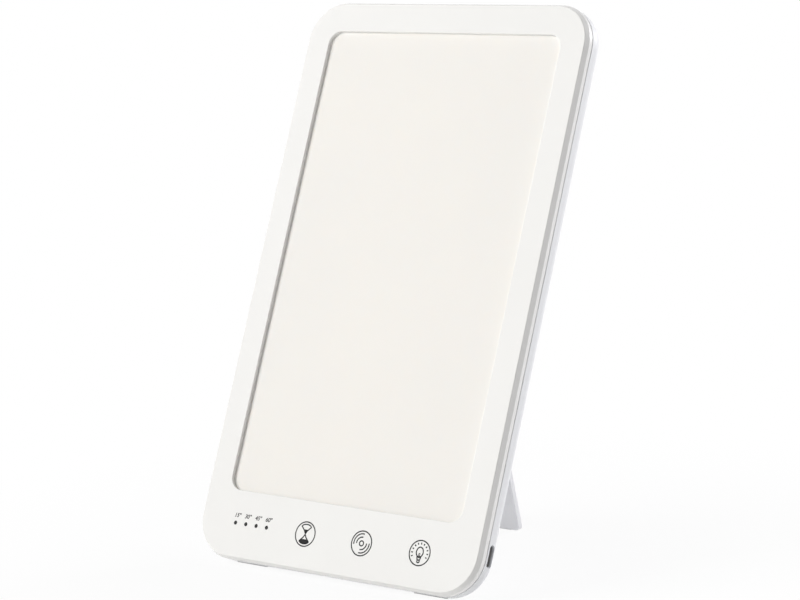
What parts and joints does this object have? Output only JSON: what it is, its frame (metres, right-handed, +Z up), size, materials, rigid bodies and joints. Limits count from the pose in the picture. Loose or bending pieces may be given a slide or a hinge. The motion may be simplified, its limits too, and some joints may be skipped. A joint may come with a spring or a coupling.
{
  "type": "light therapy lamp",
  "caption": "Flat white tablet-shaped light therapy lamp with a recessed milky light window, touch controls in its chin and a fold-out rear leg.",
  "frame": {"origin": "middle of the open lamp's footprint, on the surface it stands on", "axes": "+Z up, the light window faces -Y and leans back towards +Y, +X to the right seen from the front"},
  "size_m": [0.143, 0.107, 0.2221],
  "materials": {
    "white_shell": "satin white ABS",
    "milky_diffuser": "milky diffuser, warm white",
    "clear_film": "prismatic film",
    "clear_acrylic": "polished acrylic",
    "reflector_white": "white polyester sheet",
    "aluminium_tray": "plain sheet",
    "board_white": "white solder mask",
    "led_package": "phosphor",
    "ribbon_film": "polyimide",
    "connector_plastic": "moulded",
    "board_green": "solder mask",
    "copper": "bare copper",
    "dark_window": "smoked",
    "chip_black": "epoxy",
    "inductor_grey": "ferrite",
    "capacitor_brown": "ceramic body",
    "port_steel": "plated steel",
    "screw_steel": "zinc plated",
    "rubber_white": "white moulded rubber, dull"
  },
  "bodies": {
    "panel": {"front_bezel": "white_shell", "rear_cover": "white_shell", "diffuser_panel": "milky_diffuser", "brightness_film": "clear_film", "light_guide": "clear_acrylic", "reflector_sheet": "reflector_white", "back_plate": "aluminium_tray", "led_strip_left": "board_white", "led_strip_right": "board_white", "leds_left": "led_package", "leds_right": "led_package", "led_ribbon_left": "ribbon_film", "led_ribbon_right": "ribbon_film", "ribbon_connectors": "connector_plastic", "touch_board": "board_green", "touch_pads": "copper", "timer_windows": "dark_window", "timer_leds": "led_package", "main_board": "board_green", "board_connector": "connector_plastic", "controller_chip": "chip_black", "driver_chip": "chip_black", "driver_inductor": "inductor_grey", "capacitors": "capacitor_brown", "usb_socket": "port_steel", "usb_tongue": "chip_black", "board_screws": "screw_steel", "cover_screws": "screw_steel", "hinge_pins": "screw_steel", "foot_pad_left": "rubber_white", "foot_pad_right": "rubber_white"},
    "leg": {"stand_leg": "white_shell", "leg_foot_pad": "rubber_white"}
  },
  "joints": [
    {"name": "leg_fold", "type": "hinge", "parent": "panel", "child": "leg", "pos_m": [0, 0.01673, 0.13712], "axis": [1, 0, 0], "range_deg": [-37.15, 0]}
  ]
}
